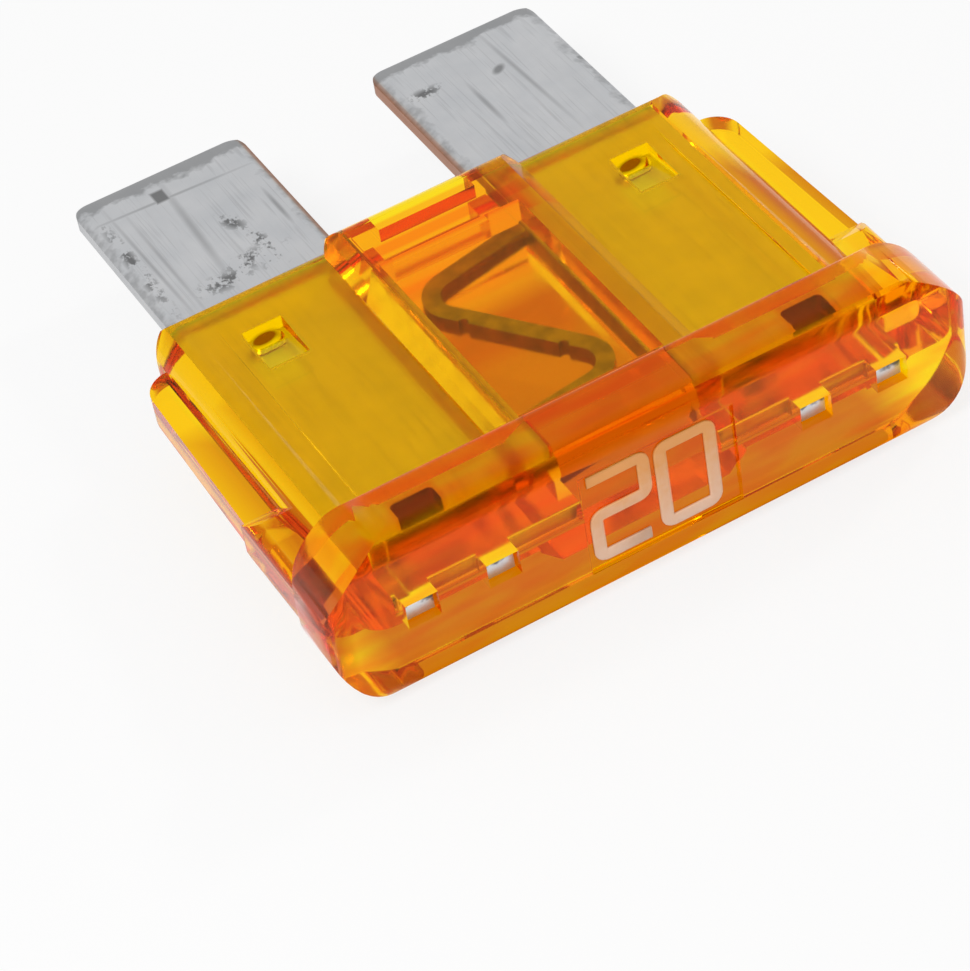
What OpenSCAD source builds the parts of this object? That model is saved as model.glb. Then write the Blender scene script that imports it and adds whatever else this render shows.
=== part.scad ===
// Blade fuse, regular size, lying on its back.
// +X runs across both blades, +Y points to the blade tips, +Z is the face that shows the link.
// The origin is the middle of the bounding box, on the plane that the head's back rests on.

/* [Overall] */
// Length from the head's end face to the blade tips
overall_l = 19.1; // [18:0.1:20]

/* [Head] */
// Width of the head across both blades
head_w = 18.5; // [18.5:0.1:20]
// Thickness of the head
head_t = 5.1; // [5:0.1:6]
// Length of the full-thickness grip rim along the blades
head_l = 2.1; // [1.7:0.1:2.6]
// Corner radius of the head seen from its end
head_corner_r = 2.4; // [1.6:0.1:2.5]
// Radius of the edge round the end face
head_edge_r = 0.65; // [0.4:0.05:1]
// Radius of the head's edge on the side of the windows
head_back_r = 0.35; // [0.1:0.05:0.5]
// Depth of the field that carries the rating
rating_depth = 0.1; // [0.05:0.05:0.2]
// Width of the field that carries the rating
rating_w = 4.4; // [3:0.1:5]
// Height of the field that carries the rating
rating_h = 3.2; // [2:0.1:3.4]

/* [Body] */
// Length from the head's end face to the blade end of the body
body_l = 12.2; // [11.5:0.1:13]
// Width of the body across both windows
body_w = 16.4; // [15.8:0.1:17]
// Thickness of the body over the windows
body_t = 2.4; // [2.4:0.1:3]
// Radius of the body's long side edges
body_side_r = 1.15; // [0.5:0.05:1.15]
// Radius of the body's corners at the blade end, seen from the front
body_corner_r = 0.8; // [0.4:0.05:1.2]
// Radius of the edges at the blade end
body_end_r = 0.45; // [0.2:0.05:0.6]
// Depth of the shallow recess that forms each window
window_depth = 0.1; // [0.05:0.05:0.2]
// Distance from the middle of the body to a window's outer edge
window_out = 6.6; // [6:0.1:7]
// Distance that each window stops short of the blade end
window_lip = 1.1; // [0.7:0.1:1.2]
// Length of the slope on which each window rises to the body's surface
window_rise = 1.4; // [0.8:0.1:2]

/* [Link box] */
// Width of the raised box at its foot
box_w = 6; // [5.6:0.1:7]
// Width of the box's flat top
box_top_w = 4.9; // [4.6:0.1:5.2]
// Thickness over the raised box
box_t = 3.5; // [3.2:0.1:4.4]
// Radius of the box's corners at the blade end
box_end_r = 0.55; // [0.2:0.05:0.6]
// Width of the chamber round the link
chamber_w = 4.2; // [4.2:0.1:4.6]
// Height of the chamber through the thickness
chamber_h = 2.2; // [1.6:0.1:2.4]
// Distance from the head's end face to the chamber's near end
chamber_start = 3.1; // [2.8:0.1:3.4]
// Thickness of the web that closes the chamber at the blade end
chamber_web = 1.2; // [0.8:0.1:1.3]
// Width of the mouth pocket at the blade end
mouth_w = 2.9; // [2:0.1:3.6]
// Height of the mouth pocket through the thickness
mouth_h = 2.3; // [2:0.1:2.6]
// Depth of the mouth pocket
mouth_depth = 0.65; // [0.3:0.05:0.8]

/* [Side rails] */
// Width over the two thin side rails where they leave the shoulders
rail_w = 18.1; // [17.8:0.1:18.1]
// Width over the two rails at their blade ends
rail_end_w = 17.8; // [17.2:0.1:17.8]
// Thickness of a side rail
rail_t = 0.9; // [0.7:0.1:1.2]
// Distance that a rail stops short of the blade end
rail_short = 1; // [0.4:0.05:1.2]
// Corner radius of a rail at the blade end
rail_r = 0.8; // [0.4:0.1:0.85]
// Width over the shoulders between rails and head
shoulder_w = 18.3; // [18.2:0.1:18.4]
// Thickness of a shoulder
shoulder_t = 1.6; // [1.4:0.1:2.2]
// Width of one shoulder, from its outside inwards
shoulder_in = 1.95; // [1.4:0.1:2.2]
// Distance from the head's end face to the shoulders' blade end
shoulder_l = 4.9; // [4.4:0.1:5.4]
// Length of the slope at a shoulder's blade end
shoulder_slope = 0.6; // [0.3:0.1:0.9]

/* [Blades] */
// Width of one blade
blade_w = 5.2; // [5:0.1:5.4]
// Thickness of the blades
blade_t = 0.65; // [0.6:0.05:0.8]
// Width over both blades
blades_over = 14.5; // [14.4:0.1:14.6]
// Corner radius of the blade tips
tip_r = 0.5; // [0.3:0.1:0.8]
// Width of the coined bevel along a blade's edges
edge_bevel = 0.3; // [0.2:0.05:0.4]
// Length of the coined bevel at the tip
tip_bevel = 0.6; // [0.4:0.05:0.8]
// Depth of the coined bevels
bevel_depth = 0.14; // [0.1:0.01:0.18]
// Gap between the element and the housing
fit_gap = 0.05; // [0.03:0.01:0.08]
// Radius at the closed end of a blade's slot
slot_nose_r = 0.3; // [0.1:0.05:0.3]

/* [Test prongs] */
// Width of one test prong
prong_w = 0.8; // [0.6:0.05:1]
// Distance of the inner prongs from the middle
prong_in = 4.5; // [4.4:0.05:4.7]
// Distance of the outer prongs from the middle
prong_out = 6.75; // [6.6:0.05:6.8]
// Depth of a prong's end below the end face
prong_sunk = 0.25; // [0:0.05:0.4]
// Distance from the head's end face to the fork between the prongs
fork_y = 1.2; // [0.8:0.05:1.3]
// Width of the square hole in each blade's head
hole_w = 1.2; // [0.8:0.05:1.3]
// Length of the square hole in each blade's head
hole_l = 0.6; // [0.4:0.05:0.8]
// Distance from the head's end face to the middle of the square hole
hole_y = 2.05; // [1.9:0.05:2.3]

/* [Fuse link] */
// Width of the link
link_w = 0.5; // [0.35:0.05:0.6]
// Thickness of the link
link_t = 0.5; // [0.35:0.05:0.6]
// Radius of the link's two bends, on its middle line
link_r = 0.8; // [0.65:0.05:0.9]
// Distance of the left bend's centre from the middle
link_left = 0.55; // [0.4:0.05:0.7]
// Distance of the right bend's centre from the middle
link_right = 0.4; // [0.3:0.05:0.6]
// Angle at which the far run rises to its blade
link_far_a = 12; // [0:1:15]
// Angle at which the near run falls to its blade
link_near_a = 8; // [0:1:12]
// Distance from the head's end face to the far side of the far bend, on its middle line
link_far = 9.75; // [9.2:0.05:9.8]
// Distance from the head's end face to the near side of the near bend, on its middle line
link_near = 4; // [3.9:0.1:4.4]
// Radius of the notches that set where the link melts
notch_r = 0.14; // [0.08:0.02:0.18]
// Distance from each notch to the end of the sloping run
notch_in = 0.55; // [0.4:0.05:0.8]

/* [Stakes] */
// Distance of a stake from the middle
stake_x = 5.55; // [5:0.05:6]
// Distance from the blade end to the middle of a stake
stake_back = 2.5; // [2.1:0.05:2.6]
// Width of a stake's punch mark
stake_w = 1.15; // [0.8:0.05:1.3]
// Length of a stake's punch mark
stake_l = 1.6; // [0.9:0.05:1.7]
// Depth of a stake's punch mark
stake_depth = 0.42; // [0.2:0.02:0.46]
// Width of the deep pit at a punch mark's blade end
stake_pit_w = 0.9; // [0.6:0.05:1]
// Length of the deep pit
stake_pit_l = 0.5; // [0.3:0.05:0.6]

/* [Hidden] */
$fn = 48;
// Overshoot of a cut past the face that it opens
cut = 1;
// Overlap that joins two solids of one moulding
join = 0.4;
// Overlap between a bend of the link and the run beside it
seam = 0.02;
box_z = box_t / 2;
body_z = body_t / 2;
chamber_end = body_l - chamber_web - mouth_depth;
blade_in = blades_over / 2 - blade_w;
blade_mid = blades_over / 2 - blade_w / 2;
slot_t = blade_t + 2 * fit_gap;
link_slot_t = link_t + 2 * fit_gap;
slot_w = blade_w + 2 * fit_gap;
slot_start = fork_y - fit_gap - slot_nose_r;
stake_pit_y = body_l - stake_back + stake_l / 2 - stake_pit_l / 2;
// Corner radius of a deep pit
stake_pit_r = 0.4 * stake_pit_l;
// Depth of a punch mark at its head end
stake_rise = stake_depth / 3;
// Corner radius of a square hole
hole_r = hole_l / 4;
window_w = window_out - box_w / 2;
bend_far_y = link_far - link_r;
bend_near_y = link_near + link_r;
bend_dx = link_right + link_left;
bend_dy = bend_far_y - bend_near_y;
bend_gap = sqrt(bend_dx * bend_dx + bend_dy * bend_dy);
// Angle below +X at which the link's sloping run leaves the far bend
slope_a = atan2(bend_dy, bend_dx) - asin(2 * link_r / bend_gap);
slope_l = sqrt(bend_gap * bend_gap - 4 * link_r * link_r);

// Stands a flat X-Z outline up and carries it from y0 to y1
module along_y(y0, y1) {
    translate([0, y1, 0]) rotate([90, 0, 0]) linear_extrude(y1 - y0) children();
}

// Carries a flat Y-Z outline across the width, drawn as [y, z]
module along_x(w) {
    rotate([90, 0, 90]) translate([0, 0, -w / 2]) linear_extrude(w) children();
}

// Rectangle with round corners round the origin
module round_rect(w, h, r) {
    union() {
        square([w - 2 * r, h], center = true);
        square([w, h - 2 * r], center = true);
        for (sx = [-1, 1], sy = [-1, 1]) translate([sx * (w / 2 - r), sy * (h / 2 - r)]) circle(r);
    }
}

// Plain outline from y0 to y1 whose corners at y1 are round, drawn as [x, y]
module end_round(w, y0, y1, r) {
    union() {
        translate([-w / 2, y0]) square([w, y1 - y0 - r]);
        translate([-w / 2 + r, y0]) square([w - 2 * r, y1 - y0]);
        for (s = [-1, 1]) translate([s * (w / 2 - r), y1 - r]) circle(r);
    }
}

// Outline of the grip rim across w, from its end face at y = 0 to its window side, drawn as [x, y]
module rim_outline(w) {
    intersection() {
        translate([0, head_l]) rotate(180) end_round(w, 0, head_l, head_edge_r);
        end_round(w, 0, head_l, head_back_r);
    }
}

// Grip rim of the head, with all its edges round
module head_rim() {
    intersection() {
        along_y(0, head_l) round_rect(head_w, head_t, head_corner_r);
        along_x(head_w) rotate(-90) rim_outline(head_t);
        translate([0, 0, -head_t / 2]) linear_extrude(head_t) rim_outline(head_w);
    }
}

// Window part of the body with its long round sides
module body_plate() {
    intersection() {
        along_y(head_edge_r, body_l) round_rect(body_w, body_t, body_side_r);
        along_x(body_w) rotate(-90) end_round(body_t, 0, body_l, body_end_r);
        translate([0, 0, -body_t / 2]) linear_extrude(body_t) end_round(body_w, 0, body_l, body_corner_r);
    }
}

// Raised box round the link, with sloped flanks
module link_box() {
    flank_h = box_z - body_z;
    foot = box_w / 2;
    top = box_top_w / 2;
    intersection() {
        along_y(head_edge_r, body_l) polygon([
            [-foot, -body_z], [-top, -box_z], [top, -box_z],
            [foot, -body_z], [foot, body_z], [top, box_z],
            [-top, box_z], [-foot, body_z]
        ]);
        along_x(box_w) rotate(-90) end_round(box_t, 0, body_l, box_end_r);
        translate([0, 0, -box_z]) linear_extrude(box_t) end_round(box_w, 0, body_l, flank_h);
    }
}

// Thin rails along both sides, in one flat piece that narrows to the blade end
module side_rails() {
    root = rail_w / 2;
    tip = rail_end_w / 2;
    end_y = body_l - rail_short;
    translate([0, 0, -rail_t / 2]) linear_extrude(rail_t) union() {
        polygon([
            [-root, head_edge_r], [root, head_edge_r], [root, shoulder_l], [tip, end_y - rail_r],
            [tip - rail_r, end_y], [rail_r - tip, end_y], [-tip, end_y - rail_r], [-root, shoulder_l]
        ]);
        for (s = [-1, 1]) translate([s * (tip - rail_r), end_y - rail_r]) circle(rail_r);
    }
}

// Thick shoulders that carry the rails into the head
module shoulders() {
    half = shoulder_t / 2;
    side_r = (shoulder_t - rail_t) / 2;
    for (s = [-1, 1]) intersection() {
        along_y(head_edge_r, shoulder_l) round_rect(shoulder_w, shoulder_t, side_r);
        translate([s * (shoulder_w - shoulder_in) / 2, 0, 0]) along_x(shoulder_in) polygon([
            [head_edge_r, -half], [shoulder_l - shoulder_slope, -half], [shoulder_l, -rail_t / 2],
            [shoulder_l, rail_t / 2], [shoulder_l - shoulder_slope, half], [head_edge_r, half]
        ]);
    }
}

// Space for one blade and its two prongs, open at both ends
module blade_space() {
    slot_end = body_l + cut;
    translate([blade_mid, 0, 0]) along_x(slot_w) translate([slot_end, 0]) rotate(90)
        end_round(slot_t, 0, slot_end - slot_start, slot_nose_r);
    for (x = [prong_in, prong_out]) translate([x - prong_w / 2 - fit_gap, -cut, -slot_t / 2])
        cube([prong_w + 2 * fit_gap, fork_y + cut, slot_t]);
}

// Outline of the deep pit of a punch mark
module stake_pit() {
    round_rect(stake_pit_w, stake_pit_l, stake_pit_r);
}

// Punch mark that stakes the plastic into a blade
module stake_mark() {
    ramp = stake_l / 2;
    top = body_z + cut;
    floor_z = body_z - stake_depth;
    translate([stake_x, body_l - stake_back, 0]) {
        along_x(stake_w) polygon([
            [-ramp, body_z - window_depth - stake_rise], [ramp, floor_z], [ramp, top], [-ramp, top]
        ]);
    }
    translate([stake_x, stake_pit_y, slot_t / 2 - fit_gap]) linear_extrude(top) stake_pit();
}

// Shallow window recess on the front, which rises to the surface near the blade end
module window_recess() {
    floor_z = body_z - window_depth;
    end_y = body_l - window_lip;
    translate([box_w / 2 + window_w / 2, 0, 0]) along_x(window_w) polygon([
        [head_l, floor_z], [end_y - window_rise, floor_z], [end_y, body_z],
        [end_y, body_z + cut], [head_l, body_z + cut]
    ]);
}

// One clear moulding: head, windows, link box, rails and shoulders
module housing() {
    color("orange") difference() {
        union() {
            head_rim();
            body_plate();
            link_box();
            side_rails();
            shoulders();
        }
        for (s = [0, 1]) mirror([s, 0, 0]) {
            blade_space();
            stake_mark();
            for (b = [0, 1]) mirror([0, 0, b]) difference() {
                window_recess();
                along_y(head_l, body_l) polygon([
                    [-box_w / 2, 0], [box_w / 2, body_z - window_depth],
                    [box_w / 2, body_z], [box_top_w / 2, box_z + cut], [-box_w / 2, box_z + cut]
                ]);
            }
        }
        translate([-chamber_w / 2, chamber_start, -chamber_h / 2])
            cube([chamber_w, chamber_end - chamber_start, chamber_h]);
        translate([-chamber_w / 2, chamber_end - join, -link_slot_t / 2])
            cube([chamber_w, body_l + cut - chamber_end + join, link_slot_t]);
        translate([-mouth_w / 2, body_l - mouth_depth, -mouth_h / 2])
            cube([mouth_w, mouth_depth + cut, mouth_h]);
        translate([-rating_w / 2, -cut, -rating_h / 2]) cube([rating_w, cut + rating_depth, rating_h]);
    }
}

// Outline of one blade with its fork, prongs, square hole and stake hole, drawn as [x, y]
module blade_outline() {
    difference() {
        union() {
            translate([blade_mid, 0]) end_round(blade_w, fork_y, overall_l, tip_r);
            for (x = [prong_in, prong_out]) translate([x - prong_w / 2, prong_sunk])
                square([prong_w, fork_y + join - prong_sunk]);
        }
        translate([(prong_in + prong_out) / 2, hole_y]) round_rect(hole_w, hole_l, hole_r);
        translate([stake_x, stake_pit_y]) stake_pit();
    }
}

// Wedges that coin the bevels round the bare part of one blade
module blade_bevels() {
    face = blade_t / 2;
    low = face - bevel_depth;
    for (b = [0, 1]) mirror([0, 0, b]) {
        for (s = [-1, 1]) translate([blade_mid, 0, 0]) mirror([(1 - s) / 2, 0, 0])
            along_y(body_l + fit_gap, overall_l + cut) polygon([
                [blade_w / 2 - edge_bevel, face], [blade_w / 2 + edge_bevel, face - 2 * bevel_depth],
                [blade_w / 2 + edge_bevel, face + bevel_depth], [blade_w / 2 - edge_bevel, face + bevel_depth]
            ]);
        translate([blade_mid, 0, 0]) along_x(blade_w + cut) polygon([
            [overall_l - tip_bevel, face], [overall_l, low], [overall_l + cut, low],
            [overall_l + cut, face + cut], [overall_l - tip_bevel, face + cut]
        ]);
    }
}

// Part of a bend of the link, between two angles seen from its centre
module bend(a0, a1) {
    outer = link_r + link_w / 2;
    mid = (a0 + a1) / 2;
    far = 3 * outer;
    intersection() {
        difference() {
            circle(outer);
            circle(link_r - link_w / 2);
        }
        polygon([[0, 0], far * [cos(a0), sin(a0)], far * [cos(mid), sin(mid)], far * [cos(a1), sin(a1)]]);
    }
}

// Flat piece of the link, as thick as the link
module link_ply() {
    translate([0, 0, -link_t / 2]) linear_extrude(link_t) children();
}

// Sloping middle run of the link, with the notches that set where it melts
module link_slope() {
    half = link_w / 2;
    difference() {
        translate([-seam, -half]) square([slope_l + 2 * seam, link_w]);
        for (x = [notch_in, slope_l - notch_in]) translate([x, -half]) circle(notch_r);
    }
}

// S-shaped link between the blades: two straight runs that lean, two bends and a slope
module fuse_link() {
    half = link_w / 2;
    far_l = (link_left + blade_in + join) / cos(link_far_a);
    near_l = (link_right + blade_in + join) / cos(link_near_a);
    union() {
        link_ply() translate([-link_left, bend_far_y]) rotate(link_far_a)
            translate([-seam, link_r - half]) square([far_l + seam, link_w]);
        link_ply() translate([link_right, bend_near_y]) rotate(link_near_a)
            translate([-near_l, -link_r - half]) square([near_l + seam, link_w]);
        link_ply() translate([-link_left, bend_far_y]) bend(90 + link_far_a, 270 - slope_a);
        link_ply() translate([link_right, bend_near_y]) bend(90 - slope_a, link_near_a - 90);
        link_ply() translate([-link_left, bend_far_y]) rotate(-slope_a) translate([0, -link_r]) link_slope();
    }
}

// One stamping: two blades joined by the link
module fuse_element() {
    color("silver") union() {
        for (s = [0, 1]) mirror([s, 0, 0]) difference() {
            translate([0, 0, -blade_t / 2]) linear_extrude(blade_t) blade_outline();
            blade_bevels();
        }
        fuse_link();
    }
}

// Moves a node from the head's end face to the part's own origin
module in_frame() {
    translate([0, -overall_l / 2, head_t / 2]) children();
}

in_frame() housing();
in_frame() fuse_element();
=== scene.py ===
"""Looks of the blade fuse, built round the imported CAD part.

Lengths are in metres in the part's own frame: +X across the blades, +Y to the blade tips, +Z up.
Fuse millimetres are measured along the same axes, with y from the head's end face and z from the
middle of the thickness, and are turned into that frame where they are used.
"""

from math import radians

import bmesh
import bpy
import numpy as np
from mathutils import Matrix, Vector


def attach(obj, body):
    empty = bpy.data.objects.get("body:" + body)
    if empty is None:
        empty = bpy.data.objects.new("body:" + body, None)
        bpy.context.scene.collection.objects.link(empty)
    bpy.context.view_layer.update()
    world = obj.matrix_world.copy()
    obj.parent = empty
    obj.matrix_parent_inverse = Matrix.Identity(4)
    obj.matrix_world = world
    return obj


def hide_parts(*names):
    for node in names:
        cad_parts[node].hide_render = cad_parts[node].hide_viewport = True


bl_info = {
    "name": "Blade fuse looks",
    "version": (1, 0, 0),
    "blender": (4, 5, 0),
    "location": "View3D > Sidebar > Fuse",
    "description": "Clear amber housing, stamped metal element, printed rating and studio",
    "category": "Object",
}

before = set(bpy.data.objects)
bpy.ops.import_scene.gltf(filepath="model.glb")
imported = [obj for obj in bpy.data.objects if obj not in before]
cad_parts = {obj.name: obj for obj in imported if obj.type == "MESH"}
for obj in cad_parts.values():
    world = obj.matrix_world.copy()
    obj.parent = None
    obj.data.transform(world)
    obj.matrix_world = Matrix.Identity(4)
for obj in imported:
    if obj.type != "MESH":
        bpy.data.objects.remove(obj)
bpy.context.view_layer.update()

MM = 0.001

# Sizes and places of the CAD part, in fuse millimetres
ORIGIN_Y = -9.55
ORIGIN_Z = 2.55
HEAD_L = 2.1
BODY_END = 12.2
BODY_Z = 1.2
CHAMBER_X = 2.1
BLADE_MID = 4.65
BLADE_END = 19.1
STAKE_X = 5.55
STAKE_Y = 9.75
HOLE_X = 5.625
HOLE_Y = 2.05
FIELD_DEPTH = 0.1

# How the CAD meshes are cleaned and rounded: points closer than this in metres are one, faces
# within FLAT_DEG are one, and edges past SHARP_DEG are sharp
MERGE_M = 1e-7
FLAT_DEG = 0.4
SHARP_DEG = 28.0

# Figures, in fuse millimetres: corners of the strokes in x and z, radius of the turns, and how far
# the ink stays clear of the field's floor
TWO = ((-1.98, 1.33), (-0.4, 1.33), (-0.4, 0.12), (-1.86, 0.12), (-1.86, -1.22), (-0.42, -1.22))
NOUGHT = ((0.08, 1.3), (1.5, 1.3), (1.5, -1.2), (0.08, -1.2))
FIGURE_R = 0.24
INK_GAP = 0.004

# Tints of the plastic's skin, and how many times higher the head's waves are than the rest's
AMBER_GLOSS = (1.0, 0.5, 0.02, 1.0)
RAIL_TINT = (1.0, 0.68, 0.03, 1.0)
HEAD_DEEP = (1.0, 0.5, 0.02, 1.0)
HEAD_PALE = (1.0, 1.0, 0.1, 1.0)
HEAD_RIPPLE = 2.5
# Boxes on both halves of the fuse, with a middle, half sizes, softness and tint. The tints at the
# web, under the chamber and at the square holes are painted shade. The pits are ellipsoids, with a
# middle, half sizes and softness.
SKIN_PATCHES = (
    ((0.0, 10.85, 0.0), (2.6, 0.62, 1.9), 0.1, (1.0, 0.3, 0.01, 1.0)),  # web behind the chamber
    ((0.0, 9.0, -1.4), (2.15, 1.3, 0.5), 0.1, (1.0, 0.6, 0.02, 1.0)),  # under the chamber
    ((HOLE_X, HOLE_Y + 0.05, 0.0), (0.66, 0.42, 0.5), 0.15, (1.0, 0.45, 0.02, 1.0)),  # square holes
    ((STAKE_X, 9.55, 0.9), (0.62, 0.7, 0.4), 0.1, (1.0, 1.0, 0.2, 1.0)),  # stakes' tongues
)
# Painted brown shade in the pits at the stakes' far ends
STAKE_PIT = ((STAKE_X, 10.42, 0.68), (0.43, 0.3, 0.23), 0.25)
PIT_SHADE = (0.09, 0.015, 0.0, 1.0)

# Tints of the metal where it isn't plain grey: painted warm shade in the head, painted red-brown
# shade on the link's sides and the holes' walls, and one dark colour for tarnish and painted shade
HEAD_METAL_SHADE = (0.8, 0.42, 0.2, 1.0)
LINK_BROWN = (0.62, 0.42, 0.2, 1.0)
LINK_SIDE_SHADE = (0.6, 0.15, 0.03, 1.0)
HOLE_WALL_SHADE = (0.3, 0.07, 0.02, 1.0)
TARNISH_AND_SHADE = (0.035, 0.033, 0.03, 1.0)
HOLE_BOX = ((HOLE_X, HOLE_Y, 0.0), (0.75, 0.45, 0.3), 0.05)

# Marks on the blades in fuse millimetres. Scuffs have a middle, half sizes and a turn in degrees.
SCUFFS = (
    ((-4.3, 14.0, 0.3), (0.6, 0.32, 1.0), 5.0),
    ((-3.95, 15.7, 0.3), (0.2, 0.45, 1.0), 20.0),
    ((-3.65, 14.5, 0.3), (0.18, 0.9, 1.0), 10.0),
    ((-3.6, 13.7, 0.3), (0.5, 0.16, 1.0), 35.0),
    ((-5.2, 13.6, 0.3), (0.7, 0.3, 1.0), 0.0),
    ((-6.85, 15.6, 0.3), (0.16, 1.9, 1.0), 0.0),
    ((2.9, 17.2, 0.3), (0.5, 0.2, 1.0), 0.0),
)
# Grooves and dots have a middle, half sizes, softness, a turn in degrees and strength.
GROOVES = (
    ((-4.9, 16.0, 0.3), (0.1, 1.9, 1.0), 0.7, -3.0, 0.3),
    ((-6.5, 15.4, 0.3), (0.05, 2.1, 1.0), 0.7, 1.0, 0.3),
    ((-6.14, 15.2, 0.3), (0.05, 1.9, 1.0), 0.7, 0.0, 0.25),
    ((-2.62, 15.5, 0.3), (0.06, 0.7, 1.0), 0.6, 0.0, 0.4),
    ((-4.9, 17.76, 0.3), (2.0, 0.05, 1.0), 0.6, -3.0, 0.3),
    ((5.07, 16.85, 0.3), (0.22, 0.13, 1.0), 0.4, 35.0, 0.55),
    ((5.5, 16.2, 0.3), (0.06, 2.0, 1.0), 0.7, 2.0, 0.3),
    ((4.05, 15.7, 0.3), (0.07, 0.85, 1.0), 0.6, 0.0, 0.35),
    ((7.2, 15.95, 0.3), (0.12, 0.12, 1.0), 0.3, 0.0, 0.5),
)
SQUARE_DENT = ((-5.03, 17.95, 0.3), (0.19, 0.26, 1.0), 0.2)

# Ink where it is thin and where it covers, and the height of its grain in metres
THIN_INK = (0.84, 0.36, 0.1, 1.0)
FULL_INK = (0.93, 0.63, 0.47, 1.0)
INK_GRAIN = 0.00001

# The stage, in metres. Light glows from the floor for the camera by the given share, which keeps the
# shadow pale. The floor under the housing has an axis, a middle and a half size, and a soft rim.
WHITE = (1.0, 1.0, 1.0, 1.0)
FLOOR_GREY = (0.9, 0.9, 0.9, 1.0)
FLOOR_GLOW = 0.78
FLOOR_R = 1.2
UNDER_HOUSING = (("X", 0.0, 0.0082), ("Y", -0.0045, 0.0063))
UNDER_RIM = (-0.0012, 0.0004)
KEY_PLACE, KEY_SIZE = (-0.075, -0.045, 0.12), 0.07
FILL_PLACE, FILL_SIZE = (0.11, 0.03, 0.09), 0.02

# The camera as fitted to the photograph, in metres in the part's frame
CAMERA_PLACE = (-0.029387, -0.069499, 0.066162)
CAMERA_LOOK = (0.27899, 0.67463, -0.6834)
CAMERA_RIGHT = (0.86045, -0.49159, -0.13401)
FOCAL_PX = 3769.98
PHOTO_W = 970
SENSOR_MM = 36.0


def to_frame(points):
    """Points in fuse millimetres become metres in the part's frame."""
    p = np.asarray(points, dtype=float)
    return (p + (0.0, ORIGIN_Y, ORIGIN_Z)) * MM


def settings():
    return bpy.context.scene.fuse_looks


# Settings

class HousingLooks(bpy.types.PropertyGroup):
    edge_r: bpy.props.FloatProperty(
        name="Edge radius", description="Radius on the moulding's outer edges",
        default=0.00009, min=0.00002, max=0.0002, unit="LENGTH", precision=5)
    green_loss: bpy.props.FloatProperty(
        name="Green loss", description="Green light that the plastic takes up per metre",
        default=155.0, min=20.0, max=600.0)
    blue_loss: bpy.props.FloatProperty(
        name="Blue loss", description="Blue light that the plastic takes up per metre",
        default=2600.0, min=400.0, max=6000.0)
    red_loss: bpy.props.FloatProperty(
        name="Red loss", description="Red light that the plastic takes up per metre",
        default=2.0, min=0.0, max=60.0)
    ior: bpy.props.FloatProperty(
        name="Refractive index", description="How strongly the plastic bends light",
        default=1.49, min=1.3, max=1.7)
    ripple: bpy.props.FloatProperty(
        name="Ripple", description="Height of the moulding's slight waves",
        default=0.000006, min=0.0, max=0.00005, unit="LENGTH", precision=6)
    tint: bpy.props.FloatVectorProperty(
        name="Surface tint", description="Colour that the skin gives to light going in and out",
        default=(1.0, 0.81, 0.04, 1.0), size=4, subtype="COLOR", min=0.0, max=1.0)


class MetalLooks(bpy.types.PropertyGroup):
    edge_r: bpy.props.FloatProperty(
        name="Edge radius", description="Radius on the stamping's edges",
        default=0.00003, min=0.00001, max=0.0001, unit="LENGTH", precision=5)
    grey: bpy.props.FloatProperty(
        name="Grey", description="Brightness of the plating",
        default=0.84, min=0.4, max=0.95)
    scratch: bpy.props.FloatProperty(
        name="Scratches", description="Depth of the fine scratches",
        default=0.000012, min=0.0, max=0.00005, unit="LENGTH", precision=6)
    wear: bpy.props.FloatProperty(
        name="Wear", description="How dark the marks on the blades are",
        default=1.0, min=0.0, max=1.2)


class RatingLooks(bpy.types.PropertyGroup):
    stroke: bpy.props.FloatProperty(
        name="Stroke", description="Width of a printed stroke",
        default=0.00036, min=0.0002, max=0.0006, unit="LENGTH", precision=5)
    height: bpy.props.FloatProperty(
        name="Height", description="Thickness of the print",
        default=0.00006, min=0.00002, max=0.0001, unit="LENGTH", precision=5)


class StageLooks(bpy.types.PropertyGroup):
    key: bpy.props.FloatProperty(
        name="Key lamp", description="Power of the main lamp in watts",
        default=0.085, min=0.0, max=1.0)
    fill: bpy.props.FloatProperty(
        name="Fill lamp", description="Power of the lamp on the right in watts",
        default=0.02, min=0.0, max=1.0)
    sky: bpy.props.FloatProperty(
        name="Sky", description="Strength of the even light from all round",
        default=0.6, min=0.0, max=1.5)
    mirror_sky: bpy.props.FloatProperty(
        name="Mirrored sky", description="Strength of the even light that gloss reflects",
        default=0.5, min=0.0, max=1.5)
    under_colour: bpy.props.FloatVectorProperty(
        name="Light under the housing",
        description="Colour of the floor where light comes through the amber",
        default=(0.62, 0.27, 0.012, 1.0), size=4, subtype="COLOR", min=0.0, max=1.0)


class FuseLooks(bpy.types.PropertyGroup):
    housing: bpy.props.PointerProperty(type=HousingLooks)
    metal: bpy.props.PointerProperty(type=MetalLooks)
    rating: bpy.props.PointerProperty(type=RatingLooks)
    stage: bpy.props.PointerProperty(type=StageLooks)


# Meshes

def add_object(name, mesh, material):
    obj = bpy.data.objects.new(name, mesh)
    bpy.context.scene.collection.objects.link(obj)
    mesh.materials.append(material)
    return obj


def shade_smooth(mesh):
    mesh.polygons.foreach_set("use_smooth", np.ones(len(mesh.polygons), dtype=bool))


def mesh_from_rings(name, rings, closed_path):
    """A tube from rings of points: rings[i, j] is point j of section i. Open paths get end caps."""
    n, m = rings.shape[:2]
    i, j = np.meshgrid(np.arange(n if closed_path else n - 1), np.arange(m), indexing="ij")
    a = i * m + j
    b = i * m + (j + 1) % m
    c = ((i + 1) % n) * m + (j + 1) % m
    d = ((i + 1) % n) * m + j
    faces = np.stack([a, b, c, d], axis=-1).reshape(-1, 4).tolist()
    if not closed_path:
        faces.append(list(range(m))[::-1])
        faces.append(list(range((n - 1) * m, n * m)))
    mesh = bpy.data.meshes.new(name)
    mesh.from_pydata(rings.reshape(-1, 3).tolist(), [], faces)
    mesh.update()
    return mesh


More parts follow.
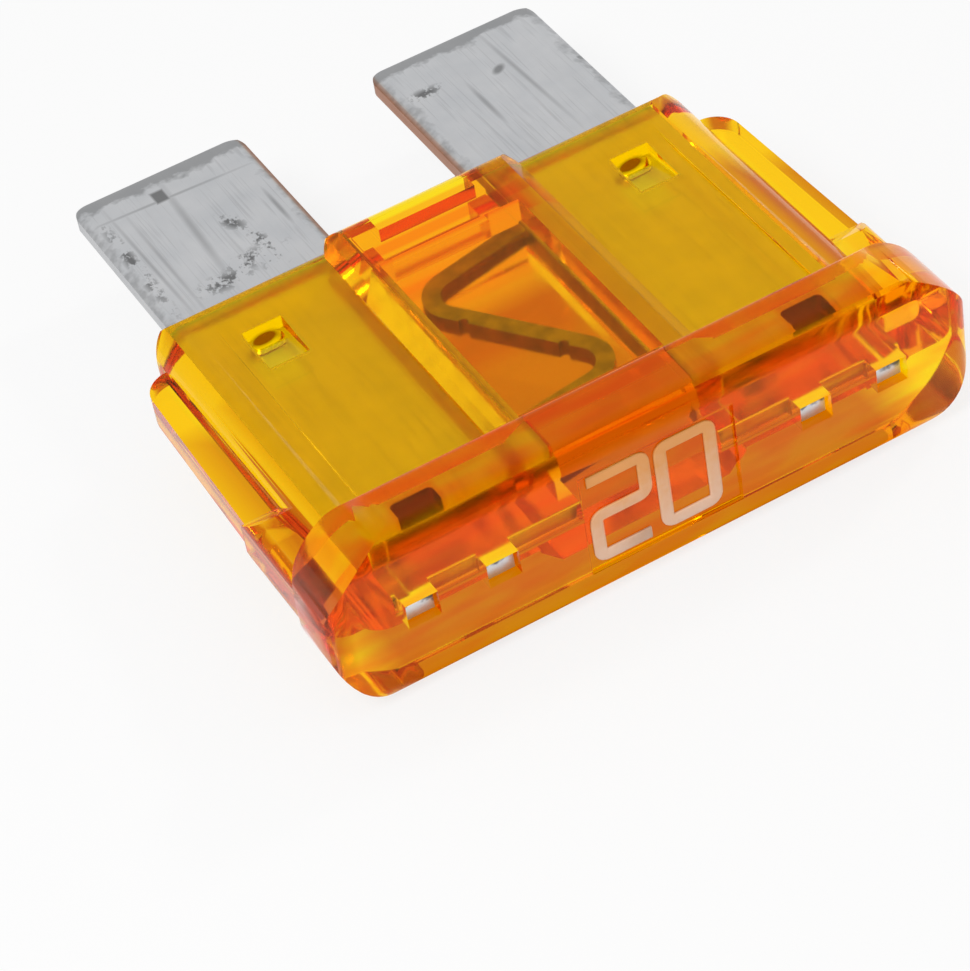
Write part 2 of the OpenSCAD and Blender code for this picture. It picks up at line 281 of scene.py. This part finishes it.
def point_outwards(mesh):
    """Turns the faces of one closed mesh so that they all look out."""
    bm = bmesh.new()
    bm.from_mesh(mesh)
    bmesh.ops.recalc_face_normals(bm, faces=bm.faces)
    bm.to_mesh(mesh)
    bm.free()


def merged_copy(cad_name, name):
    """A copy of a CAD node's mesh with its triangles merged into one skin and flat faces whole."""
    bm = bmesh.new()
    bm.from_mesh(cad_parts[cad_name].data)
    bmesh.ops.remove_doubles(bm, verts=bm.verts, dist=MERGE_M)
    bmesh.ops.dissolve_limit(bm, angle_limit=radians(FLAT_DEG), verts=bm.verts, edges=bm.edges)
    mesh = bpy.data.meshes.new(name)
    bm.to_mesh(mesh)
    bm.free()
    return mesh


def mark_edges(mesh, wanted):
    """Sets smooth shading, and a bevel weight on each sharp edge that wanted picks.

    wanted gets the middles and the lengths of all edges, in fuse millimetres. Sharp edges that it
    leaves out stay sharp.
    """
    bm = bmesh.new()
    bm.from_mesh(mesh)
    bm.edges.ensure_lookup_table()
    angles = np.array([e.calc_face_angle(0.0) for e in bm.edges])
    ends = np.array([(e.verts[0].co[:], e.verts[1].co[:]) for e in bm.edges])
    bm.free()
    middles = ends.mean(axis=1) / MM - (0.0, ORIGIN_Y, ORIGIN_Z)
    lengths = np.linalg.norm(ends[:, 0] - ends[:, 1], axis=1) / MM
    sharp = angles > radians(SHARP_DEG)
    picked = sharp & wanted(middles, lengths)
    weight = mesh.attributes.new("bevel_weight_edge", "FLOAT", "EDGE")
    weight.data.foreach_set("value", picked.astype(np.float32))
    shade_smooth(mesh)
    left_sharp = mesh.attributes.get("sharp_edge")
    left_sharp = left_sharp or mesh.attributes.new("sharp_edge", "BOOLEAN", "EDGE")
    left_sharp.data.foreach_set("value", sharp & ~picked)
    mesh.update()


def round_edges(obj, radius):
    """Bevels the weighted edges, with the flats shaded flat and the bevels smooth."""
    bevel = obj.modifiers.new("edge radius", "BEVEL")
    bevel.limit_method = "WEIGHT"
    bevel.width = radius
    bevel.segments = 2
    bevel.use_clamp_overlap = True
    bevel.harden_normals = False
    normals = obj.modifiers.new("flat faces stay flat", "WEIGHTED_NORMAL")
    normals.keep_sharp = True
    normals.weight = 100


# Material nodes

def new_material(name):
    """An empty node material, with its tree and its output node."""
    material = bpy.data.materials.new(name)
    material.use_nodes = True
    tree = material.node_tree
    tree.nodes.clear()
    return material, tree, tree.nodes.new("ShaderNodeOutputMaterial")


def add_principled(tree, output):
    shader = tree.nodes.new("ShaderNodeBsdfPrincipled")
    tree.links.new(shader.outputs[0], output.inputs["Surface"])
    return shader


def node(tree, kind, inputs=None, **values):
    """Adds a node, sets its own values, and fills its inputs with numbers or links."""
    made = tree.nodes.new(kind)
    for key, value in values.items():
        setattr(made, key, value)
    for key, value in (inputs or {}).items():
        if isinstance(value, bpy.types.NodeSocket):
            tree.links.new(value, made.inputs[key])
        else:
            made.inputs[key].default_value = value
    return made


def math(tree, operation, a, b=0.0):
    return node(tree, "ShaderNodeMath", {0: a, 1: b}, operation=operation).outputs[0]


def times(tree, a, b):
    return math(tree, "MULTIPLY", a, b)


def absolute(tree, value):
    return math(tree, "ABSOLUTE", value)


def largest(tree, *values):
    most = values[0]
    for value in values[1:]:
        most = math(tree, "MAXIMUM", most, value)
    return most


def ramp(tree, value, low, high, out_low, out_high):
    """Maps a value from low..high to out_low..out_high."""
    return node(tree, "ShaderNodeMapRange", {
        "Value": value, "From Min": low, "From Max": high,
        "To Min": out_low, "To Max": out_high}).outputs[0]


def tinted(tree, fac, a, b):
    """Colour a where fac is nought, and b where it is one."""
    inputs = {"Factor": fac, "A": a, "B": b}
    return node(tree, "ShaderNodeMix", inputs, data_type="RGBA").outputs["Result"]


def blend(tree, fac, a, b):
    """Shader a where fac is nought, and b where it is one."""
    return node(tree, "ShaderNodeMixShader", {"Fac": fac, 1: a, 2: b}).outputs[0]


def object_place(tree):
    return node(tree, "ShaderNodeTexCoord").outputs["Object"]


def split(tree, vector):
    return node(tree, "ShaderNodeSeparateXYZ", {0: vector}).outputs


def noise(tree, scale, detail, roughness=0.5, stretch=(1.0, 1.0, 1.0)):
    """Noise on object coordinates scaled by a different number along each axis."""
    coords = node(tree, "ShaderNodeMapping", {"Vector": object_place(tree), "Scale": stretch})
    return node(tree, "ShaderNodeTexNoise", {
        "Vector": coords.outputs[0], "Scale": scale,
        "Detail": detail, "Roughness": roughness}).outputs["Fac"]


def fuse_place(tree):
    """Where a point is in fuse millimetres."""
    return node(tree, "ShaderNodeMapping", {
        "Vector": object_place(tree), "Scale": (1 / MM, 1 / MM, 1 / MM),
        "Location": (0.0, -ORIGIN_Y, -ORIGIN_Z)}).outputs[0]


def mirrored(tree, out, apart):
    """The place with its distance out from the middle as x, so that a mark shows on both halves."""
    inputs = {"X": out, "Y": apart["Y"], "Z": apart["Z"]}
    return node(tree, "ShaderNodeCombineXYZ", inputs).outputs[0]


def inside(tree, place, middle, half, turn=0.0):
    """Coordinates that run from -1 to 1 across a mark, turned in the plane of the blades."""
    return node(tree, "ShaderNodeMapping", {
        "Vector": place, "Location": middle, "Rotation": (0.0, 0.0, radians(turn)),
        "Scale": half}, vector_type="TEXTURE").outputs[0]


def spot(tree, place, middle, half, soft, turn=0.0):
    """One inside an ellipsoid with the given middle and half sizes, nought past its soft skin."""
    local = inside(tree, place, middle, half, turn)
    reach = node(tree, "ShaderNodeVectorMath", {0: local}, operation="LENGTH").outputs["Value"]
    return ramp(tree, reach, 1.0 - soft, 1.0 + soft, 1.0, 0.0)


def block(tree, place, middle, half, soft):
    """One inside a box with the given middle and half sizes, nought past its soft sides."""
    local = inside(tree, place, middle, half)
    away = node(tree, "ShaderNodeVectorMath", {0: local}, operation="ABSOLUTE").outputs[0]
    apart = split(tree, away)
    reach = largest(tree, apart["X"], apart["Y"], apart["Z"])
    return ramp(tree, reach, 1.0 - soft, 1.0 + soft, 1.0, 0.0)


def add_bump(tree, shader, height, strength, distance):
    inputs = {"Height": height, "Strength": strength, "Distance": distance}
    bump = node(tree, "ShaderNodeBump", inputs)
    tree.links.new(bump.outputs[0], shader.inputs["Normal"])


# Materials

def amber_material():
    """Clear amber moulding: refraction with light taken up along its way through the plastic.

    The skin is tinted, slightly rough and wavy. It is deeper on the rails, has painted shade at the
    web, under the chamber and at the square holes, is mottled on the head, and is pale on the
    stakes, with pits of painted brown shade.
    """
    looks = settings().housing
    material, tree, output = new_material("clear_amber")
    shader = add_principled(tree, output)
    apart = split(tree, fuse_place(tree))
    out = absolute(tree, apart["X"])
    front = mirrored(tree, out, apart)

    past_head = ramp(tree, apart["Y"], 2.2, 2.5, 0.0, 1.0)
    rails = times(tree, ramp(tree, out, 8.15, 8.3, 0.0, 1.0), past_head)
    colour = tinted(tree, rails, looks.tint, RAIL_TINT)
    head = ramp(tree, apart["Y"], HEAD_L - 0.1, HEAD_L + 0.3, 1.0, 0.0)
    streaks = ramp(tree, noise(tree, 1300.0, 1.0, 0.6, (0.35, 1.0, 1.3)), 0.38, 0.62, 0.0, 1.0)
    mottled = tinted(tree, streaks, HEAD_DEEP, HEAD_PALE)
    colour = tinted(tree, times(tree, head, 0.9), colour, mottled)
    # Painted shade at the web, under the chamber and at the square holes; paler tongues on the
    # stakes
    for middle, half, soft, tint in SKIN_PATCHES:
        colour = tinted(tree, block(tree, front, middle, half, soft), colour, tint)
    # Painted brown shade in the stakes' pits
    colour = tinted(tree, spot(tree, front, *STAKE_PIT), colour, PIT_SHADE)
    tree.links.new(colour, shader.inputs["Base Color"])

    shader.inputs["Transmission Weight"].default_value = 1.0
    shader.inputs["IOR"].default_value = looks.ior
    shader.inputs["Specular Tint"].default_value = AMBER_GLOSS
    tree.links.new(ramp(tree, streaks, 0.0, 1.0, 0.05, 0.12), shader.inputs["Roughness"])
    ripple = ramp(tree, head, 0.0, 1.0, looks.ripple, looks.ripple * HEAD_RIPPLE)
    add_bump(tree, shader, noise(tree, 520.0, 1.0, 0.5), 1.0, ripple)

    most = looks.blue_loss
    passed = (1.0 - looks.red_loss / most, 1.0 - looks.green_loss / most, 0.0, 1.0)
    loss = node(tree, "ShaderNodeVolumeAbsorption", {"Color": passed, "Density": most})
    tree.links.new(loss.outputs[0], output.inputs["Volume"])
    return material


def edge_shade_tone(tree, apart, out, ragged):
    """Painted shade on the bare blades' coined edges, tips and cut sides, ragged and grainy on the
    edges.
    """
    side = absolute(tree, math(tree, "SUBTRACT", out, BLADE_MID))
    edges = ramp(tree, math(tree, "ADD", side, ragged), 2.26, 2.5, 0.0, 0.3)
    grain = ramp(tree, noise(tree, 4200.0, 1.0, 0.7), 0.3, 0.65, 0.45, 1.15)
    to_tip = math(tree, "ADD", apart["Y"], ragged)
    tips = ramp(tree, to_tip, BLADE_END - 0.72, BLADE_END - 0.5, 0.0, 0.42)
    cut = ramp(tree, absolute(tree, apart["Z"]), 0.175, 0.19, 0.38, 0.0)
    return largest(tree, times(tree, edges, grain), tips, cut)


def worn_tone(tree, place):
    """How dark the scuffs, the dent, the grooves and the dots on the blades are."""
    patches = noise(tree, 2600.0, 3.0, 0.75, (1.0, 0.7, 1.0))
    scuffed = ramp(tree, patches, 0.5, 0.58, 0.0, 0.72)
    marks = [times(tree, scuffed, spot(tree, place, middle, half, 0.6, turn))
             for middle, half, turn in SCUFFS]
    marks.append(times(tree, block(tree, place, *SQUARE_DENT), 0.68))
    marks += [times(tree, spot(tree, place, middle, half, soft, turn), strength)
              for middle, half, soft, turn, strength in GROOVES]
    return largest(tree, *marks)


def metal_material():
    """Dull plated stamping.

    Rolling lines and fine scratches run along the blades. The coined edges, tips and cut sides have
    ragged painted shade, and the blades have their own scuffs, grooves and dents. The metal in the
    head has painted warm shade, the prongs have painted shade on top, and the link is brown. The
    link's sides and the holes' walls have painted red-brown shade.
    """
    looks = settings().metal
    material, tree, output = new_material("plated_zinc")
    shader = add_principled(tree, output)
    shader.inputs["Metallic"].default_value = 0.8
    place = fuse_place(tree)
    apart = split(tree, place)
    out = absolute(tree, apart["X"])
    bare = ramp(tree, apart["Y"], BODY_END - 0.2, BODY_END + 0.1, 0.0, 1.0)
    past_prongs = ramp(tree, apart["Y"], 0.5, 0.8, 0.0, 1.0)
    linked = ramp(tree, out, CHAMBER_X - 0.15, CHAMBER_X + 0.15, 1.0, 0.0)
    lines = noise(tree, 1700.0, 2.0, 0.6, (3.0, 0.16, 1.0))
    fine = noise(tree, 5200.0, 1.0, 0.5, (3.0, 0.07, 1.0))
    patches = noise(tree, 1500.0, 3.0, 0.65)
    ragged = times(tree, math(tree, "SUBTRACT", patches, 0.5), 1.1)

    # Dark tones: painted shade on the prongs' tops and the blades' edges, tips and cut sides, with
    # the link's mottling, rolling lines and wear marks
    # Painted shade on the blades' coined edges, tips and cut sides
    coined = times(tree, edge_shade_tone(tree, apart, out, ragged), bare)
    worn = times(tree, worn_tone(tree, place), looks.wear)
    rolled = ramp(tree, lines, 0.28, 0.4, 0.16, 0.0)
    rolled = largest(tree, rolled, ramp(tree, fine, 0.3, 0.42, 0.12, 0.0))
    rolled = times(tree, rolled, ramp(tree, bare, 0.0, 1.0, 0.25, 1.0))
    link = times(tree, linked, ramp(tree, noise(tree, 1900.0, 2.0), 0.35, 0.65, 0.3, 0.62))
    # Painted shade on the prongs' tops
    top = ramp(tree, math(tree, "ADD", apart["Z"], ragged), 0.02, 0.14, 0.0, 0.8)
    prongs = times(tree, ramp(tree, apart["Y"], 0.5, 0.8, 1.0, 0.0), top)
    dark = largest(tree, link, prongs, coined, rolled, worn)

    # Colours
    grey = looks.grey
    dull = (grey * 0.92, grey * 0.94, grey * 0.97, 1.0)
    bright = (grey * 1.02, grey * 1.03, grey * 1.05, 1.0)
    cloud = ramp(tree, noise(tree, 700.0, 2.0, 0.6), 0.3, 0.7, 0.0, 1.0)
    colour = tinted(tree, cloud, dull, bright)
    # Painted warm shade on the metal inside the head
    in_head = ramp(tree, apart["Y"], 1.6, 2.3, 0.75, 0.0)
    head_shade = times(tree, in_head, ramp(tree, patches, 0.35, 0.6, 0.8, 1.1))
    colour = tinted(tree, times(tree, head_shade, past_prongs), colour, HEAD_METAL_SHADE)
    colour = tinted(tree, times(tree, linked, 0.9), colour, LINK_BROWN)
    # Painted red-brown shade on the link's sides
    upright = ramp(tree, absolute(tree, apart["Z"]), 0.238, 0.248, 1.0, 0.0)
    colour = tinted(tree, times(tree, linked, upright), colour, LINK_SIDE_SHADE)
    # Painted red-brown shade on the square holes' walls
    colour = tinted(tree, block(tree, mirrored(tree, out, apart), *HOLE_BOX), colour, HOLE_WALL_SHADE)
    # Tarnish and painted shade share this dark colour
    colour = tinted(tree, dark, colour, TARNISH_AND_SHADE)
    tree.links.new(colour, shader.inputs["Base Color"])
    tree.links.new(ramp(tree, lines, 0.3, 0.7, 0.5, 0.36), shader.inputs["Roughness"])
    add_bump(tree, shader, lines, 1.0, looks.scratch)
    return material


def print_material():
    """Pale print with uneven ink that is thinner and warmer towards the upper edge."""
    material, tree, output = new_material("pale_print")
    shader = add_principled(tree, output)
    ink = noise(tree, 5000.0, 4.0)
    apart = split(tree, fuse_place(tree))
    height = math(tree, "ADD", apart["Z"], times(tree, ink, 1.2))
    cover = ramp(tree, height, -1.1, 1.7, 1.0, 0.0)
    tree.links.new(tinted(tree, cover, THIN_INK, FULL_INK), shader.inputs["Base Color"])
    tree.links.new(ramp(tree, ink, 0.3, 0.7, 0.45, 0.6), shader.inputs["Roughness"])
    add_bump(tree, shader, ink, 0.6, INK_GRAIN)
    return material


def floor_material():
    """White floor that keeps the object's shadow for the camera.

    Through the plastic and in reflections it is white too, and warm under the housing, where only
    light that came through the amber reaches it.
    """
    material, tree, output = new_material("studio_floor")
    path = node(tree, "ShaderNodeLightPath").outputs
    apart = split(tree, object_place(tree))
    past = []
    for axis, middle, half in UNDER_HOUSING:
        away = absolute(tree, math(tree, "SUBTRACT", apart[axis], middle))
        past.append(math(tree, "SUBTRACT", away, half))
    under = ramp(tree, largest(tree, *past), *UNDER_RIM, 1.0, 0.0)
    lit = tinted(tree, under, WHITE, settings().stage.under_colour)
    matt = node(tree, "ShaderNodeBsdfDiffuse", {"Color": FLOOR_GREY}).outputs[0]
    glow = node(tree, "ShaderNodeEmission", {"Color": WHITE, "Strength": 1.0}).outputs[0]
    warm = node(tree, "ShaderNodeEmission", {"Color": lit, "Strength": 1.0}).outputs[0]
    seen = blend(tree, path["Is Camera Ray"], matt, blend(tree, FLOOR_GLOW, matt, glow))
    through = largest(tree, path["Is Transmission Ray"], path["Is Glossy Ray"])
    tree.links.new(blend(tree, through, seen, warm), output.inputs["Surface"])
    return material


# Pieces

def outer_edges(middles, lengths):
    """Long edges of the housing's outside, away from slot, mouth, stakes and the rating's field."""
    x, y, z = np.abs(middles).T
    skin = (z > BODY_Z - 0.01) | (x > 8.0) | (y < 0.02) | (y > BODY_END - 0.1)
    slot = (z < 0.4) & (x < 7.4)
    mouth = (x < 1.5) & (z < 1.4) & (y > BODY_END - 1.0)
    stake = (np.abs(x - STAKE_X) < 0.65) & (np.abs(y - STAKE_Y) < 0.95)
    field = (x < 2.3) & (y < 0.2)
    return skin & ~slot & ~mouth & ~stake & ~field & (lengths > 0.3)


def blade_edges(middles, lengths):
    """Edges of the blades and their heads, and not of the link between them."""
    return (np.abs(middles[:, 0]) > 2.0) & (lengths > 0.2)


class FUSE_OT_housing(bpy.types.Operator):
    """Builds the clear moulding round the element, with rounded outer edges"""
    bl_idname = "fuse.housing"
    bl_label = "Clear housing"

    def execute(self, context):
        mesh = merged_copy("housing", "clear_housing")
        mark_edges(mesh, outer_edges)
        obj = add_object("clear_housing", mesh, amber_material())
        round_edges(obj, settings().housing.edge_r)
        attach(obj, "root")
        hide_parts("housing")
        return {"FINISHED"}


class FUSE_OT_element(bpy.types.Operator):
    """Builds the stamped metal element with its slightly rounded edges"""
    bl_idname = "fuse.element"
    bl_label = "Stamped element"

    def execute(self, context):
        mesh = merged_copy("fuse_element", "stamped_element")
        mark_edges(mesh, blade_edges)
        obj = add_object("stamped_element", mesh, metal_material())
        round_edges(obj, settings().metal.edge_r)
        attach(obj, "root")
        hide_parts("fuse_element")
        return {"FINISHED"}


def rounded_path(corners, radius, closed, per_corner=8):
    """A path in x and z through corners.

    A turn at corner c runs from point a to point b, each at radius from c on its two legs, as
    (1-t)^2 a + 2t(1-t) c + t^2 b with t from 0 to 1.
    """
    pts = np.asarray(corners, dtype=float)
    n = len(pts)
    out = []
    t = np.linspace(0.0, 1.0, per_corner)[:, None]
    for i in range(n):
        if not closed and i in (0, n - 1):
            out.append(pts[i][None])
            continue
        before, here, after = pts[i - 1], pts[i], pts[(i + 1) % n]
        a = here + (before - here) / np.linalg.norm(before - here) * radius
        b = here + (after - here) / np.linalg.norm(after - here) * radius
        out.append((1 - t) ** 2 * a + 2 * t * (1 - t) * here + t ** 2 * b)
    return np.concatenate(out)


def stroke_mesh(name, corners, closed, width, height):
    """A flat print stroke: a superellipse section, width by height, swept along a rounded path.

    Section point at angle a is width/2 * sign(cos a)|cos a|^0.35 across the path and
    height * (|sin a|^0.35 or 0 for the under side) off the surface.
    """
    path = rounded_path(corners, FIGURE_R, closed)
    if closed:
        along = np.roll(path, -1, axis=0) - np.roll(path, 1, axis=0)
    else:
        along = np.gradient(path, axis=0)
    along /= np.linalg.norm(along, axis=1)[:, None]
    across = np.stack([-along[:, 1], along[:, 0]], axis=1)
    a = np.linspace(0.0, 2 * np.pi, 20, endpoint=False)
    side = np.sign(np.cos(a)) * np.abs(np.cos(a)) ** 0.35 * width / 2
    off = np.where(np.sin(a) > 0, np.abs(np.sin(a)) ** 0.35, 0.0) * height
    xz = path[:, None, :] + across[:, None, :] * side[None, :, None]
    y = np.broadcast_to(FIELD_DEPTH - INK_GAP - off[None, :], xz.shape[:2])
    rings = to_frame(np.stack([xz[..., 0], y, xz[..., 1]], axis=-1))
    mesh = mesh_from_rings(name, rings, closed)
    shade_smooth(mesh)
    point_outwards(mesh)
    return mesh


class FUSE_OT_rating(bpy.types.Operator):
    """Prints the plain rating 20 on the head's end face"""
    bl_idname = "fuse.rating"
    bl_label = "Rating figures"

    def execute(self, context):
        looks = settings().rating
        ink = print_material()
        for name, corners, closed in (("figure_two", TWO, False), ("figure_nought", NOUGHT, True)):
            mesh = stroke_mesh(name, corners, closed, looks.stroke / MM, looks.height / MM)
            obj = add_object(name, mesh, ink)
            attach(obj, "root")
        return {"FINISHED"}


# Stage

def add_lamp(name, place, size, power):
    """A round lamp that is aimed at the origin."""
    data = bpy.data.lights.new(name, "AREA")
    data.shape = "DISK"
    data.size = size
    data.energy = power
    lamp = bpy.data.objects.new(name, data)
    bpy.context.scene.collection.objects.link(lamp)
    lamp.location = place
    lamp.rotation_euler = (-Vector(place)).to_track_quat("-Z", "Y").to_euler()


def add_floor():
    turn = np.linspace(0.0, 2 * np.pi, 96, endpoint=False)
    rim = np.stack([np.cos(turn) * FLOOR_R, np.sin(turn) * FLOOR_R, np.zeros_like(turn)], axis=-1)
    mesh = bpy.data.meshes.new("floor")
    mesh.from_pydata(rim.tolist(), [], [list(range(len(rim)))])
    floor = add_object("floor", mesh, floor_material())


def add_world():
    """White for the camera and through the plastic, a calmer grey for reflections and shading."""
    looks = settings().stage
    world = bpy.data.worlds.new("studio")
    bpy.context.scene.world = world
    world.use_nodes = True
    tree = world.node_tree
    tree.nodes.clear()
    output = tree.nodes.new("ShaderNodeOutputWorld")
    path = node(tree, "ShaderNodeLightPath").outputs
    white = largest(tree, path["Is Camera Ray"], path["Is Transmission Ray"])
    calm = ramp(tree, path["Is Glossy Ray"], 0.0, 1.0, looks.sky, looks.mirror_sky)
    strength = ramp(tree, white, 0.0, 1.0, calm, 1.0)
    back = node(tree, "ShaderNodeBackground", {"Color": WHITE, "Strength": strength})
    tree.links.new(back.outputs[0], output.inputs["Surface"])


def add_camera():
    """Camera fitted to the photograph: its place, its axes and its focal length in pixels."""
    data = bpy.data.cameras.new("photo_camera")
    camera = bpy.data.objects.new("photo_camera", data)
    bpy.context.scene.collection.objects.link(camera)
    look = Vector(CAMERA_LOOK).normalized()
    up = Vector(CAMERA_RIGHT).normalized().cross(look).normalized()
    right = look.cross(up)
    turn = Matrix((right, up, -look)).transposed().to_4x4()
    camera.matrix_world = Matrix.Translation(Vector(CAMERA_PLACE)) @ turn
    data.sensor_fit = "HORIZONTAL"
    data.sensor_width = SENSOR_MM
    data.lens = FOCAL_PX / PHOTO_W * SENSOR_MM
    data.clip_start = 0.005
    data.clip_end = 10.0
    bpy.context.scene.camera = camera


class FUSE_OT_stage(bpy.types.Operator):
    """Sets the floor, the lamps, the surrounding light and the camera"""
    bl_idname = "fuse.stage"
    bl_label = "Stage"

    def execute(self, context):
        looks = settings().stage
        add_floor()
        add_lamp("key", KEY_PLACE, KEY_SIZE, looks.key)
        add_lamp("fill", FILL_PLACE, FILL_SIZE, looks.fill)
        add_world()
        add_camera()
        context.scene.view_settings.view_transform = "Standard"
        cycles = context.scene.cycles
        cycles.max_bounces = 18
        cycles.transmission_bounces = 18
        cycles.glossy_bounces = 12
        cycles.diffuse_bounces = 1
        return {"FINISHED"}


class FUSE_PT_panel(bpy.types.Panel):
    """Settings and builders of the fuse's looks"""
    bl_idname = "FUSE_PT_panel"
    bl_label = "Blade fuse"
    bl_space_type = "VIEW_3D"
    bl_region_type = "UI"
    bl_category = "Fuse"

    def draw(self, context):
        looks = context.scene.fuse_looks
        of_housing = ("edge_r", "tint", "red_loss", "green_loss", "blue_loss", "ior", "ripple")
        rows = (
            (looks.housing, of_housing, "fuse.housing"),
            (looks.metal, ("edge_r", "grey", "scratch", "wear"), "fuse.element"),
            (looks.rating, ("stroke", "height"), "fuse.rating"),
            (looks.stage, ("key", "fill", "sky", "mirror_sky", "under_colour"), "fuse.stage"),
        )
        for group, names, operator in rows:
            box = self.layout.box()
            for name in names:
                box.prop(group, name)
            box.operator(operator)


CLASSES = (
    HousingLooks, MetalLooks, RatingLooks, StageLooks, FuseLooks,
    FUSE_OT_housing, FUSE_OT_element, FUSE_OT_rating, FUSE_OT_stage, FUSE_PT_panel,
)


def register():
    for cls in CLASSES:
        bpy.utils.register_class(cls)
    bpy.types.Scene.fuse_looks = bpy.props.PointerProperty(type=FuseLooks)


def unregister():
    del bpy.types.Scene.fuse_looks
    for cls in reversed(CLASSES):
        bpy.utils.unregister_class(cls)


def main():
    register()
    bpy.ops.fuse.stage()
    bpy.ops.fuse.element()
    bpy.ops.fuse.housing()
    bpy.ops.fuse.rating()


if __name__ == "__main__":
    main()
